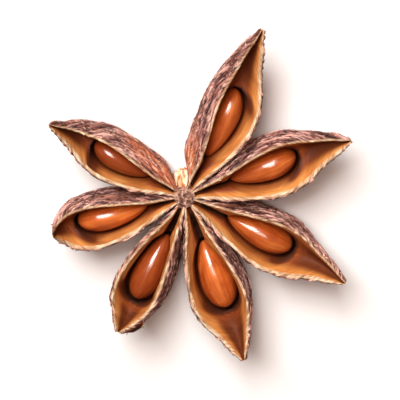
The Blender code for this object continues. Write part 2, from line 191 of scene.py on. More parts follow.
# The table's width and the lamps' places and sizes are in metres, the power in watts.
TABLE_WIDTH = 0.8
LAMPS = {
    "window": ((-0.11, 0.23, 0.37), 0.23, 2.75, (1.0, 1.0, 1.0)),
    "ceiling": ((-0.03, 0.12, 0.46), 0.16, 0.72, (1.0, 0.80, 0.70)),
}
LAMPS_FACE = Vector((0.0, 0.0, 0.005))
ROOM_COLOUR, ROOM_STRENGTH = (1.0, 0.66, 0.53, 1.0), 0.18


def along(knots, t):
    """The value at t of a smooth curve through the knots."""
    last = len(knots) - 1
    i = 0
    while i < last - 1 and t > knots[i + 1][0]:
        i += 1
    (t0, a), (t1, b) = knots[i], knots[i + 1]
    before, after = knots[max(i - 1, 0)], knots[min(i + 2, last)]
    rise_a = (b - before[1]) / (t1 - before[0]) * (t1 - t0)
    rise_b = (after[1] - a) / (after[0] - t0) * (t1 - t0)
    u = min(max((t - t0) / (t1 - t0), 0.0), 1.0)
    return (
        a * (1 + 2 * u) * (1 - u) ** 2
        + rise_a * u * (1 - u) ** 2
        + b * u * u * (3 - 2 * u)
        + rise_b * u * u * (u - 1)
    )


def smooth(low, high, t):
    """0 up to low, 1 from high on, and a smooth rise between them."""
    u = min(max((t - low) / (high - low), 0.0), 1.0)
    return u * u * (3 - 2 * u)


def band(starts, full, fades, gone, t):
    """1 between full and fades, and 0 before it starts and once it is gone."""
    return smooth(starts, full, t) * smooth(gone, fades, t)


def ridged(point):
    """Noise with sharp crests, from 0 in its hollows to 1 on its crests."""
    return max(0.0, 1 - 2.2 * abs(noise.noise(point)))


def puffed(point):
    """Noise with rounded ridges, from 0 in narrow creases to 1 along the ridges."""
    return min(1.0, 2.6 * abs(noise.noise(point))) ** 0.7


def chamber_length(carpel):
    """Distance from the star's axis to the outer end of the seed's pocket."""
    return carpel.seed_at + carpel.seed_length + POCKET_CLEARANCE


def reach(carpel, t):
    """Distance from the star's axis at stage t."""
    chamber = chamber_length(carpel)
    pace = chamber / CHAMBER_ENDS
    if t <= CHAMBER_ENDS:
        return pace * t
    beyond = (t - CHAMBER_ENDS) / (1 - CHAMBER_ENDS)
    saved = pace * (1 - CHAMBER_ENDS) - (carpel.length - chamber)
    return chamber + pace * (t - CHAMBER_ENDS) - saved * beyond**BEAK_EASING


def soft_max(a, b):
    """The larger of two lengths, with the corner between them rounded."""
    return 0.5 * (a + b + math.hypot(a - b, RIM_ROUNDING))


def pocket_stage(carpel, t):
    """Where t lies along the seed's pocket, from -1 at its inner end to 1 at its outer end."""
    return (reach(carpel, t) - carpel.seed_at) / (carpel.seed_length + POCKET_CLEARANCE)


def taper(u):
    """Width of a seed or its pocket beside its middle's, from u = -1 at the inner end to 1 at the outer."""
    return 1 + SEED_TAPER * min(max(u, -1.0), 1.0)


def tip_rise(carpel, t):
    """How far the carpel's beak lifts it at t."""
    return carpel.beak * smooth(BEAK_STARTS, 1.0, t)


def section(carpel, t):
    """One side of a carpel's wall at t, from the keel up over the lip and down to the pocket's floor.

    Each point is (sideways, height, lip, valley, pocket, deep): how much it belongs to the lip's pale edge and
    to the smooth inside, how dark painted shade in and round the pocket makes it, and how far it lies below
    the lips, from 0 to 1.
    """
    girth = carpel.half_width * along(GIRTH, t)
    least_gap = LEAST_LIP * smooth(0.0, 0.1, 1 - t) + LEAST_GAP
    gap = max(carpel.half_width * carpel.gape * along(MOUTH, t), least_gap)
    lip = along(LIP_HEIGHT, t) + tip_rise(carpel, t)
    keel = along(KEEL_HEIGHT, t) + tip_rise(carpel, t)
    height = lip - keel
    thick = min(LIP_THICKNESS, MOST_LIP_OF_GIRTH * girth, MOST_LIP_OF_HEIGHT * height)
    girth = max(girth, gap + thick)
    edge = lip - LIP_ROUNDING * thick
    drop = min(along(VALLEY_DEPTH, t), MOST_DROP * height)
    power = along(VALLEY_POWER, t)
    u = pocket_stage(carpel, t)
    share = math.sqrt(max(1 - u * u, 0.0)) * taper(u)
    pocket = (carpel.seed_width + POCKET_CLEARANCE) * share
    slit = SLIT_WIDTH * gap * smooth(SLIT_ENDS, SLIT_FULL, t)
    rim = min(soft_max(soft_max(pocket, slit), GROOVE_WIDTH * gap), MOST_RIM * gap)
    rim_height = edge - drop * (1 - (rim / gap) ** power)
    floor = lip - drop - min(along(SLIT_DEPTH, t), MOST_SLIT * height)
    if share > 0:
        floor = min(floor, SEED_HEIGHT - (SEED_HALF_HEIGHT + POCKET_CLEARANCE) * share)
    floor = min(floor, rim_height - GROOVE)
    depth = rim_height - floor
    widest = max(min(SEED_HEIGHT, rim_height - BELOW_RIM * depth), floor + ABOVE_FLOOR * depth)
    pocket = min(max(pocket, rim), girth - min(thick, POCKET_WALL))
    shade = smooth(SHADE_STARTS, SHADE_FULL, depth)
    pool = POOL_DARKNESS * (POOL_INNER + (1 - POOL_INNER) * smooth(POOL_DEEPENS, POOL_FULL, u))
    breadth = (carpel.seed_width + POCKET_CLEARANCE) * taper(u)
    beyond = smooth(CHAMBER_ENDS, POCKET_GONE, t)

    side = [(0.0, keel, 0.0, 0.0, 0.0, 0.0)]
    for i in range(1, HULL_STEPS + 1):
        a = math.pi / 2 * i / HULL_STEPS
        w = girth * math.sin(a) ** HULL_ROUNDNESS
        side.append((w, keel + GIRTH_HEIGHT * height * (1 - math.cos(a)), 0.0, 0.0, 0.0, 0.0))
    for i in range(1, SHOULDER_STEPS + 1):
        b = i / SHOULDER_STEPS
        shoulder = GIRTH_HEIGHT + (1 - GIRTH_HEIGHT) * b
        w = girth + (gap + thick - girth) * b * b
        z = keel + height * shoulder - LIP_ROUNDING * thick * b
        side.append((w, z, LIP_CRUST * smooth(0.9, 1.0, b), 0.0, 0.0, 0.0))
    for i in range(1, LIP_STEPS + 1):
        b = i / LIP_STEPS
        w = gap + 0.5 * thick * (1 + math.cos(math.pi * b))
        z = edge + LIP_ROUNDING * thick * math.sin(math.pi * b)
        pale = LIP_CRUST + (1 - LIP_CRUST) * smooth(0.15, 0.70, b)
        side.append((w, z, pale, smooth(0.6, 1.0, b), 0.0, 0.0))
    for i in range(1, SLOPE_STEPS + 1):
        b = i / SLOPE_STEPS
        w = gap + (rim - gap) * b
        z = edge - drop * (1 - (w / gap) ** power)
        dark = pool * smooth(POOL_ENDS, 1.0, math.hypot(u, w / breadth))
        side.append((w, z, smooth(0.10, 0.0, b), 1.0, dark, smooth(0.02, 0.5, 1 - w / gap)))
    for i in range(POCKET_STEPS):
        a = math.pi / 2 * i / POCKET_STEPS
        w = pocket * math.cos(a)
        hollow = widest + (floor - widest) * math.sin(a)
        open_valley = edge - drop * (1 - (w / gap) ** power)
        near = pool * smooth(POOL_ENDS, 1.0, math.hypot(u, w / breadth))
        dark = max(shade * smooth(-0.2, 0.9, a), near) * (1 - beyond)
        side.append((w, hollow + (open_valley - hollow) * beyond, 0.0, 1.0, dark, 1.0))
    dark = max(shade, pool * smooth(POOL_ENDS, 1.0, abs(u))) * (1 - beyond)
    side.append((0.0, floor + (edge - drop - floor) * beyond, 0.0, 1.0, dark, 1.0))
    return side


def placed(carpel, t, w, z):
    """A point of a carpel in the pod's frame, with the carpel's roll, bow and heading."""
    roll = math.radians(carpel.roll) * smooth(ROLL_STARTS, ROLL_ENDS, t)
    axis = along(ROLL_AXIS, t)
    rise = z - axis
    w, z = (
        w * math.cos(roll) - rise * math.sin(roll),
        axis + w * math.sin(roll) + rise * math.cos(roll),
    )
    w += carpel.bow * 4 * t * (1 - t)
    heading = math.radians(carpel.heading)
    out = reach(carpel, t)
    return Vector((
        out * math.cos(heading) - w * math.sin(heading),
        out * math.sin(heading) + w * math.cos(heading),
        z,
    ))


def stations():
    """Stages where sections stand: evenly spread, and closer at the outer end of the pocket."""
    spread = [CARPEL_STARTS + (CARPEL_ENDS - CARPEL_STARTS) * i / (STATIONS - 1) for i in range(STATIONS)]
    return sorted(spread + EXTRA_STATIONS)


def linked(name, data):
    """A new object with this data, linked to the scene."""
    obj = bpy.data.objects.new(name, data)
    bpy.context.scene.collection.objects.link(obj)
    return obj


class Surface:
    """A mesh being made, with a value of each named attribute for every point."""

    def __init__(self, *names):
        self.mesh = bmesh.new()
        self.layers = {name: self.mesh.verts.layers.float.new(name) for name in names}
        self.run = self.mesh.verts.layers.float_vector.new("run")
        self.grain = self.mesh.verts.layers.float_vector.new("grain")

    def point(self, co, run, grain=(0.0, 0.0, 1.0), **values):
        vertex = self.mesh.verts.new(co)
        vertex[self.run] = run
        vertex[self.grain] = grain
        for name, value in values.items():
            vertex[self.layers[name]] = value
        return vertex

    def skin(self, rings):
        """Joins each ring of points to the next with a band of faces."""
        for near, far in zip(rings, rings[1:]):
            for i in range(len(near)):
                j = (i + 1) % len(near)
                self.mesh.faces.new((near[i], near[j], far[j], far[i]))

    def fan(self, ring, middle):
        """Closes a ring of points with a fan of faces round its middle."""
        for i in range(len(ring)):
            self.mesh.faces.new((ring[i], ring[(i + 1) % len(ring)], middle))

    def object(self, name, material):
        """Turns the surface into an object of this name, in metres."""
        bmesh.ops.recalc_face_normals(self.mesh, faces=self.mesh.faces)
        bmesh.ops.scale(self.mesh, vec=(MM, MM, MM), verts=self.mesh.verts)
        data = bpy.data.meshes.new(name)
        self.mesh.to_mesh(data)
        self.mesh.free()
        data.materials.append(material)
        data.shade_smooth()
        return linked(name, data)


def whole_ring(carpel, t):
    """A closed section's points at t, with how far each lies round it from the keel, right side negative."""
    side = section(carpel, t)
    travelled, ring = 0.0, []
    for i, (w, z, *marks) in enumerate(side):
        if i:
            travelled += math.hypot(w - side[i - 1][0], z - side[i - 1][1])
        ring.append((w, z, travelled, *marks))
    right = [(-w, z, -far, *marks) for w, z, far, *marks in reversed(ring[1:-1])]
    return ring + right


def torn_share(carpel, out, w, z):
    """How much a point of the hull belongs to its torn streak, which widens towards the column."""
    if w * carpel.torn <= 0.0:
        return 0.0
    ends = abs(carpel.torn)
    streak = smooth(TORN_STARTS, TORN_FULL, z) * smooth(0.0, 1.0, along(TORN_TOP, out) - z)
    return streak * smooth(0.0, 0.4, abs(w)) * smooth(ends + TORN_FADE, ends - TORN_FADE, out)


def curl(number, out, w, below):
    """How far a point of the hull flares in the curl, its share of the curl's hollow, darkened by painted
    shade, and its share of the curl's pale edge.
    """
    if number != CURLED_CARPEL or w * CURLED_SIDE <= 0.0:
        return 0.0, 0.0, 0.0
    share = smooth(1.0, 0.25, abs(out - CURL_AT) / CURL_LENGTH)
    flare, hollow, edge = (band(*depths, below) for depths in (FLARE_BAND, HOLLOW_BAND, EDGE_BAND))
    return CURL_FLARE * share * flare, share * hollow, smooth(0.1, 0.5, share) * edge


def carpel_surface(carpel, number):
    """A carpel with its wrinkled hull, ragged lips, smooth valley and a pocket darkened by painted shade."""
    surface = Surface("lip", "valley", "pocket", "deep", "crest", "torn", "beyond", "flaking")
    rings = []
    for t in stations():
        out = reach(carpel, t)
        top = along(LIP_HEIGHT, t) + tip_rise(carpel, t)
        ring = []
        for w, z, around, lip, valley, pocket, deep in whole_ring(carpel, t):
            if valley == 0.0:
                flare, hollow, edge = curl(number, out, w, top - z)
                w += math.copysign(flare, w)
                # The curl's hollow takes the pocket's painted shade, and its edge takes the lip's pale colour.
                lip, pocket = max(lip, edge), max(pocket, hollow)
            place = placed(carpel, t, w, z)
            crusty = max(0.0, 1 - valley) * (1 - 0.5 * lip)
            raised = smooth(FLAKES_CLEAR, FLAKES_FULL, place.z)
            ring.append(surface.point(
                place,
                (out, around, APART * number),
                (placed(carpel, t + 0.01, w, z) - place).normalized(),
                lip=lip,
                valley=valley,
                pocket=pocket,
                deep=deep,
                torn=torn_share(carpel, out, w, z),
                beyond=smooth(-0.3, 1.8, out - chamber_length(carpel)),
                flaking=crusty * smooth(2.0, 5.0, out) * raised,
            ))
        rings.append(ring)
    surface.skin(rings)
    surface.mesh.faces.new(list(reversed(rings[0])))
    end = section(carpel, 1.0)
    height = 0.5 * (end[0][1] + max(point[1] for point in end))
    run = (carpel.length, 0.0, APART * number)
    tip = surface.point(placed(carpel, 1.0, 0.0, height), run, lip=1.0, beyond=1.0)
    surface.fan(rings[-1], tip)
    bmesh.ops.recalc_face_normals(surface.mesh, faces=surface.mesh.faces)
    surface.mesh.normal_update()
    roughen(surface, carpel)
    return surface


def roughen(surface, carpel):
    """Pushes the hull out along its wrinkles, frays the lips and ripples the valley."""
    layers, run_layer = surface.layers, surface.run
    moves = []
    for vertex in surface.mesh.verts:
        out, around, number = vertex[run_layer]
        lip, valley = vertex[layers["lip"]], vertex[layers["valley"]]
        rooted = smooth(WRINKLES_START, WRINKLES_FULL, out)
        push, crest, most = 0.0, 0.0, 0.0
        if valley < 1.0:
            slant = around + WRINKLE_SLANT * out
            for length, width, depth in WRINKLES:
                height = puffed(Vector((out / length, slant / width, number + length)))
                push += depth * (height - WRINKLE_LEVEL)
                crest += depth * height
                most += depth
            push += SWELL_DEPTH * noise.noise(vertex.co / SWELL_LENGTH)
            push *= rooted * (1.0 - valley) * (1.0 - lip) ** 2
        vertex[layers["crest"]] = crest / most if most else 0.0
        if valley > 0.0:
            ripple = noise.noise(Vector((out / RIPPLE_LENGTH, around / RIPPLE_WIDTH, number)))
            push += RIPPLE_DEPTH * rooted * valley * ripple
        move = vertex.normal * push
        if lip > 0.0:
            fray = sum(depth * noise.noise(Vector((out / length, math.copysign(3.0, around), number)))
                       for length, depth in RAGGED)
            whole = smooth(0.0, RAGGED_FROM_TIP, carpel.length - out)
            move += Vector((0.0, 0.0, fray * lip * rooted * whole))
        moves.append(move)
    for vertex, move in zip(surface.mesh.verts, moves):
        vertex.co += move
        vertex.co.z = max(vertex.co.z, 0.0)


def seed_surface(carpel, number):
    """A plump drop with its narrow end towards the column, marked along its top for a painted highlight."""
    surface = Surface("ridge", "tone")
    t = CHAMBER_ENDS * carpel.seed_at / chamber_length(carpel)
    heading = math.radians(carpel.heading)
    outward = Vector((math.cos(heading), math.sin(heading), 0.0))
    middle = placed(carpel, t, 0.0, SEED_HEIGHT)
    sideways = (placed(carpel, t, 1.0, SEED_HEIGHT) - middle).normalized()
    upward = (placed(carpel, t, 0.0, SEED_HEIGHT + 1.0) - middle).normalized()
    ends, rings = [], []
    for i in range(SEED_RINGS + 1):
        polar = math.pi * i / SEED_RINGS
        length = -math.cos(polar)
        swell = taper(length) * math.sin(polar)
        ring = []
        for j in range(SEED_SIDES if 0 < i < SEED_RINGS else 1):
            a = 2 * math.pi * j / SEED_SIDES
            width, height = math.cos(a) * swell, math.sin(a) * swell
            width = math.copysign(abs(width) ** SEED_SQUARENESS, width)
            dent = 1 - SEED_DENT * ridged(Vector((length * 1.4, width * 2.0, height * 2.0 + number)))
            point = (
                middle
                + outward * carpel.seed_length * length
                + (sideways * carpel.seed_width * width + upward * SEED_HALF_HEIGHT * height) * dent
            )
            run = (carpel.seed_length * length, carpel.seed_width * a, APART * number)
            ridge = max(0.0, math.sin(a)) ** LIT_TOP_SHARPNESS
            ring.append(surface.point(point, run, ridge=ridge, tone=SEED_TONES[number - 1]))
        if len(ring) == 1:
            ends.append(ring[0])
        else:
            rings.append(ring)
    surface.skin(rings)
    surface.fan(rings[0], ends[0])
    surface.fan(rings[-1], ends[1])
    return surface


def column_surface():
    """The column turned from its profile, with a cracked knob on top and the cut stalk below."""
    surface = Surface("crest")
    profile = []
    for (r0, z0), (r1, z1) in zip(COLUMN_PROFILE, COLUMN_PROFILE[1:]):
        steps = max(1, round(math.hypot(r1 - r0, z1 - z0) / COLUMN_STEP))
        profile += [(r0 + (r1 - r0) * k / steps, z0 + (z1 - z0) * k / steps) for k in range(steps)]
    rings = []
    for r, z in profile[1:]:
        ring = []
        for i in range(COLUMN_SIDES):
            a = 2 * math.pi * i / COLUMN_SIDES
            point = Vector((r * math.cos(a), r * math.sin(a), z))
            crest = sum(depth * ridged(point / length) for length, depth in KNOB_CRAGS)
            crest /= sum(depth for _, depth in KNOB_CRAGS)
            rough = smooth(KNOB_STARTS, KNOB_FULL, z)
            rough += SIDE_CRAGS * smooth(KNOB_STARTS, KNOB_STARTS - 1.0, z) * smooth(0.0, 0.8, z)
            upwards = KNOB_UPTURN * max(z - KNOB_STARTS, 0.0)
            outward = Vector((point.x, point.y, upwards)).normalized()
            push = rough * sum(depth * (ridged(point / length) - 0.5) for length, depth in KNOB_CRAGS)
            ring.append(surface.point(point + outward * push, (z, r * a, 0.0), crest=crest))
        rings.append(ring)
    surface.skin(rings)
    for ring, height in ((rings[0], profile[0][1]), (rings[-1], 0.0)):
        surface.fan(ring, surface.point((0.0, 0.0, height), (height, 0.0, 0.0), crest=0.5))
    return surface


def stub_surface():
    """The splintered root of the carpel that broke off, with fibres that run outwards."""
    surface = Surface("crest", "flaking")
    heading = math.radians(STUB_HEADING)
    outward = Vector((math.cos(heading), math.sin(heading), 0.0))
    sideways = Vector((-math.sin(heading), math.cos(heading), 0.0))
    first, last = STUB_SECTIONS[0][0], STUB_SECTIONS[-1][0]
    half_widths = [(out, half) for out, half, _, _ in STUB_SECTIONS]
    bottoms = [(out, bottom) for out, _, bottom, _ in STUB_SECTIONS]
    tops = [(out, top) for out, _, _, top in STUB_SECTIONS]
    rings = []
    for i in range(STUB_RINGS):
        out = first + (last - first) * i / (STUB_RINGS - 1)
        half, bottom, top = along(half_widths, out), along(bottoms, out), along(tops, out)
        ring = []
        for j in range(STUB_SIDES):
            a = 2 * math.pi * j / STUB_SIDES
            w, z = half * math.cos(a), 0.5 * (bottom + top) + 0.5 * (top - bottom) * math.sin(a)
            fibre = ridged(Vector((out / 2.4, w / 0.42, z / 0.8)))
            jag = noise.noise(Vector((w / 0.5, z / 1.2, 4.0)))
            jag += 0.4 * noise.noise(Vector((w / 0.2, z / 0.5, 9.0)))
            swell = 1 + STUB_SWELL * (fibre - 0.5)
            point = (
                outward * (out + STUB_JAGS * jag * smooth(1.2, 2.5, out))
                + sideways * w * swell
                + Vector((0.0, 0.0, z + STUB_RELIEF * (fibre - 0.5)))
            )
            loose = smooth(1.5, 2.3, out) * smooth(2.5, 4.0, z)
            ring.append(surface.point(point, (out, w, z), outward, crest=fibre, flaking=loose))
        rings.append(ring)
    surface.skin(rings)
    for ring in (rings[0], rings[-1]):
        middle = sum((vertex.co for vertex in ring), Vector()) / STUB_SIDES
        surface.fan(ring, surface.point(middle, (0.0, 0.0, 0.0), crest=0.2))
    return surface


def node(tree, kind, inputs=None, **settings):
    """A new shader or geometry node, with settings made and inputs set or linked."""
    made = tree.nodes.new(kind)
    for name, value in settings.items():
        setattr(made, name, value)
    for key, value in (inputs or {}).items():
        if isinstance(value, bpy.types.NodeSocket):
            tree.links.new(value, made.inputs[key])
        else:
            made.inputs[key].default_value = value
    return made


def new_material(name):
    """A new material with its node tree and its shader."""
    material = bpy.data.materials.new(name)
    material.use_nodes = True
    tree = material.node_tree
    return material, tree, tree.nodes["Principled BSDF"]


def add_bump(tree, shader, strength, distance, height):
    """Fine relief on a shader, with its distance in metres."""
    bump = node(tree, "ShaderNodeBump", {"Strength": strength, "Distance": distance, "Height": height})
    tree.links.new(bump.outputs["Normal"], shader.inputs["Normal"])


def attribute(tree, name, output="Fac"):
    """The value that the mesh carries under this name."""
    return node(tree, "ShaderNodeAttribute", attribute_name=name).outputs[output]


def ramp(tree, factor, stops):
    """A colour that runs through (position, colour) stops as the factor grows."""
    made = node(tree, "ShaderNodeValToRGB", {"Fac": factor})
    elements = made.color_ramp.elements
    while len(elements) < len(stops):
        elements.new(0.5)
    for element, (position, colour) in zip(elements, stops):
        element.position = position
        element.color = (*colour, 1.0)
    return made.outputs["Color"]


def span(tree, value, low, high, out_low=0.0, out_high=1.0):
    """The value moved from one range to another, and kept inside it."""
    inputs = {"Value": value, "From Min": low, "From Max": high, "To Min": out_low, "To Max": out_high}
    return node(tree, "ShaderNodeMapRange", inputs).outputs["Result"]


def blend(tree, factor, under, over):
    """A mix of two colours, each a socket or three numbers."""
    made = node(tree, "ShaderNodeMix", data_type="RGBA")
    for socket, value in ((made.inputs[0], factor), (made.inputs[6], under), (made.inputs[7], over)):
        if isinstance(value, bpy.types.NodeSocket):
            tree.links.new(value, socket)
        elif isinstance(value, tuple):
            socket.default_value = (*value, 1.0)
        else:
            socket.default_value = value
    return made.outputs[2]


def blend_values(tree, factor, under, over):
    return node(tree, "ShaderNodeMix", {0: factor, 2: under, 3: over}, data_type="FLOAT").outputs[0]


def maths(tree, operation, a, b):
    return node(tree, "ShaderNodeMath", {0: a, 1: b}, operation=operation).outputs[0]


def weighted(tree, *parts):
    """The sum of (value, share) parts, each value times its share."""
    total = None
    for value, share in parts:
        part = maths(tree, "MULTIPLY", value, share)
        total = part if total is None else maths(tree, "ADD", total, part)
    return total


def noise_of(tree, run, stretch, scale, detail=4.0, roughness=0.55):
    """Noise over the surface's own (along, around) measure in millimetres, drawn out by the stretch."""
    drawn = node(tree, "ShaderNodeVectorMath", {0: run, 1: stretch}, operation="MULTIPLY").outputs[0]
    inputs = {"Vector": drawn, "Scale": scale, "Detail": detail, "Roughness": roughness}
    return node(tree, "ShaderNodeTexNoise", inputs).outputs["Fac"]


def effect_group(name, inputs, outputs, build):
    """A node group whose outputs are what build(tree, its inputs) returns, in their order."""
    tree = bpy.data.node_groups.new(name, "ShaderNodeTree")
    for label, kind in inputs.items():
        tree.interface.new_socket(label, in_out="INPUT", socket_type=kind)
    for label, kind in outputs.items():
        tree.interface.new_socket(label, in_out="OUTPUT", socket_type=kind)
    given = tree.nodes.new("NodeGroupInput")
    node(tree, "NodeGroupOutput", dict(zip(outputs, build(tree, given.outputs))))
    return tree


def use_group(tree, group, **inputs):
    return node(tree, "ShaderNodeGroup", inputs, node_tree=group).outputs


NUMBER, COLOUR, DIRECTION = "NodeSocketFloat", "NodeSocketColor", "NodeSocketVector"
FINISH = {"Color": COLOUR, "Roughness": NUMBER, "Height": NUMBER}


def hull_effect(tree, given):
    """Purplish brown, with painted shade darkening its hollows and fine creases and painted light making its
    crests pale pink; matte and finely grained.
    """
    mottle = noise_of(tree, given["Run"], (0.35, 0.9, 1.0), 0.9, 5.0)
    grain = noise_of(tree, given["Run"], (0.9, 2.6, 1.0), 1.5, 6.0, 0.72)
    # Part of the colour follows the wrinkles' relief: painted shade in their hollows, painted light on their
    # crests.
    level = weighted(tree, (given["Crest"], 0.446), (mottle, 0.324), (grain, 0.374))
    colour = ramp(tree, level, [
        (0.44, (0.012, 0.005, 0.005)),
        (0.53, (0.100, 0.038, 0.031)),
        (0.63, (0.340, 0.133, 0.104)),
        (0.75, (0.900, 0.520, 0.425)),
    ])
    warm = span(tree, noise_of(tree, given["Run"], (0.3, 0.5, 1.0), 0.7, 2.0), 0.50, 0.68, 0.0, 0.7)
    colour = blend(tree, warm, colour, (0.270, 0.078, 0.030))
    cool = span(tree, noise_of(tree, given["Run"], (0.6, 1.4, 1.0), 1.3, 3.0), 0.52, 0.68, 0.0, 0.45)
    colour = blend(tree, cool, colour, (0.270, 0.185, 0.200))
    # Thin creases, cut into the relief and darkened with painted shade.
    drift = maths(tree, "SUBTRACT", noise_of(tree, given["Run"], (0.30, 1.5, 1.0), 1.0, 3.0), 0.5)
    shaded_crease = span(tree, maths(tree, "ABSOLUTE", drift, 0.0), 0.006, 0.038, 1.0, 0.0)
    colour = blend(tree, maths(tree, "MULTIPLY", shaded_crease, 0.85), colour, (0.020, 0.008, 0.007))
    height = maths(tree, "SUBTRACT", maths(tree, "ADD", grain, given["Crest"]), shaded_crease)
    return colour, span(tree, grain, 0.3, 0.7, 0.62, 0.86), height


def valley_effect(tree, given):
    """Golden tan with fine streaks along the carpel and a low sheen, deepening to orange-brown under painted
    shade below the lips and painted shadow in the beak.
    """
    streaks = noise_of(tree, given["Run"], (0.28, 3.2, 1.0), 1.6, 5.0, 0.6)
    clouds = noise_of(tree, given["Run"], (0.5, 0.8, 1.0), 0.75, 3.0)
    level = weighted(tree, (streaks, 0.45), (clouds, 0.55))
    shallow = ramp(tree, level, [
        (0.30, (0.450, 0.135, 0.030)),
        (0.50, (0.680, 0.250, 0.058)),
        (0.72, (0.900, 0.450, 0.140)),
    ])
    deep = ramp(tree, level, [
        (0.30, (0.090, 0.018, 0.006)),
        (0.50, (0.220, 0.045, 0.010)),
        (0.72, (0.400, 0.105, 0.022)),
    ])
    # Painted shade: darker from the slopes under the lips down to the valley's floor.
    colour = blend(tree, given["Deep"], shallow, deep)
    # Painted shadow over the beak's floor, beyond the seed's pocket.
    shadowed = maths(tree, "MULTIPLY", given["Beyond"], given["Deep"])
    colour = blend(tree, span(tree, shadowed, 0.2, 1.0, 0.0, 0.8), colour, (0.100, 0.024, 0.008))
    return colour, span(tree, streaks, 0.3, 0.7, 0.50, 0.66), maths(tree, "MULTIPLY", streaks, 0.25)


def husk_material():
    """Hull, lips, valley, pocket and torn side of the carpels, told apart by the mesh's own marks."""
    material, tree, shader = new_material("dried_husk")
    hull = effect_group("hull_wrinkles", {"Run": DIRECTION, "Crest": NUMBER}, FINISH, hull_effect)
    depths = {"Run": DIRECTION, "Deep": NUMBER, "Beyond": NUMBER}
    valley = effect_group("valley_sheen", depths, FINISH, valley_effect)
    run = attribute(tree, "run", "Vector")
    outside = use_group(tree, hull, Run=run, Crest=attribute(tree, "crest"))
    inside = use_group(tree, valley, Run=run, Deep=attribute(tree, "deep"), Beyond=attribute(tree, "beyond"))
    flecks = noise_of(tree, run, (0.5, 1.2, 1.0), 1.2, 5.0, 0.6)

    smoothness = attribute(tree, "valley")
    colour = blend(tree, smoothness, outside["Color"], inside["Color"])
    torn = ramp(tree, flecks, [
        (0.36, (0.230, 0.040, 0.015)),
        (0.50, (0.640, 0.150, 0.050)),
        (0.64, (0.900, 0.560, 0.330)),
    ])
    patchy = span(tree, noise_of(tree, run, (0.25, 1.3, 1.0), 1.0, 3.0), 0.38, 0.54)
    colour = blend(tree, maths(tree, "MULTIPLY", attribute(tree, "torn"), patchy), colour, torn)
    edge = ramp(tree, flecks, [
        (0.34, (0.380, 0.155, 0.080)),
        (0.48, (0.740, 0.460, 0.260)),
        (0.62, (0.940, 0.760, 0.520)),
    ])
    colour = blend(tree, span(tree, attribute(tree, "lip"), 0.25, 0.85), colour, edge)
    # Painted shade in the pockets and slits, round the seeds and in the curl's hollow: dark brown, then near
    # black.
    pocket = attribute(tree, "pocket")
    colour = blend(tree, span(tree, pocket, 0.0, 0.5), colour, (0.170, 0.036, 0.009))
    colour = blend(tree, span(tree, pocket, 0.35, 1.0), colour, (0.020, 0.007, 0.004))
    tree.links.new(colour, shader.inputs["Base Color"])

    roughness = blend_values(tree, smoothness, outside["Roughness"], inside["Roughness"])
    tree.links.new(roughness, shader.inputs["Roughness"])
    shader.inputs["Specular IOR Level"].default_value = 0.16
    relief = blend_values(tree, smoothness, outside["Height"], inside["Height"])
    add_bump(tree, shader, 0.7, 0.00022, relief)
    return material


def seed_material():
    """Glossy chestnut, with a painted highlight that is lighter and more orange along its top, and faint long
    streaks.
    """
    material, tree, shader = new_material("seed_gloss")
    run = attribute(tree, "run", "Vector")
    streaks = noise_of(tree, run, (0.24, 2.0, 1.0), 1.1, 5.0, 0.6)
    clouds = noise_of(tree, run, (0.5, 0.7, 1.0), 0.8, 4.0, 0.6)
    level = weighted(tree, (streaks, 0.5), (clouds, 0.5))
    colour = ramp(tree, level, [
        (0.34, (0.230, 0.030, 0.007)),
        (0.50, (0.490, 0.090, 0.015)),
        (0.66, (0.760, 0.200, 0.034)),
    ])
    # Painted highlight: the seed is lighter and more orange along its top.
    ridge = span(tree, attribute(tree, "ridge"), 0.0, 1.0, 0.0, 0.35)
    colour = blend(tree, ridge, colour, (0.720, 0.200, 0.038))
    tone = span(tree, attribute(tree, "tone"), 0.0, 1.0, 0.0, 0.85)
    colour = blend(tree, tone, colour, (0.190, 0.028, 0.006))
    tree.links.new(colour, shader.inputs["Base Color"])
    tree.links.new(span(tree, streaks, 0.3, 0.7, 0.16, 0.32), shader.inputs["Roughness"])
    shader.inputs["Coat Weight"].default_value = 0.6
    shader.inputs["Coat Roughness"].default_value = 0.08
    add_bump(tree, shader, 0.06, 0.00006, streaks)
    return material


def grain_effect(tree, given):
    """How pale broken or cracked wood is, half from painted shade and light that follow its relief and half
    from its fibres, and the fibres' height.
    """
    fibres = noise_of(tree, given["Run"], given["Stretch"], given["Scale"], 6.0, 0.65)
    return weighted(tree, (given["Crest"], 0.5), (fibres, 0.5)), fibres


def grained_material(name, group, stops, roughness, stretch, scale):
    """A matte broken or cracked surface whose crests are paler than its hollows, as painted light and shade.
    """
    material, tree, shader = new_material(name)
    run, crest = attribute(tree, "run", "Vector"), attribute(tree, "crest")
    grain = use_group(tree, group, Run=run, Crest=crest, Stretch=stretch, Scale=scale)
    tree.links.new(ramp(tree, grain["Paleness"], stops), shader.inputs["Base Color"])
    shader.inputs["Roughness"].default_value = roughness
    add_bump(tree, shader, 0.5, 0.0001, grain["Height"])
    return material


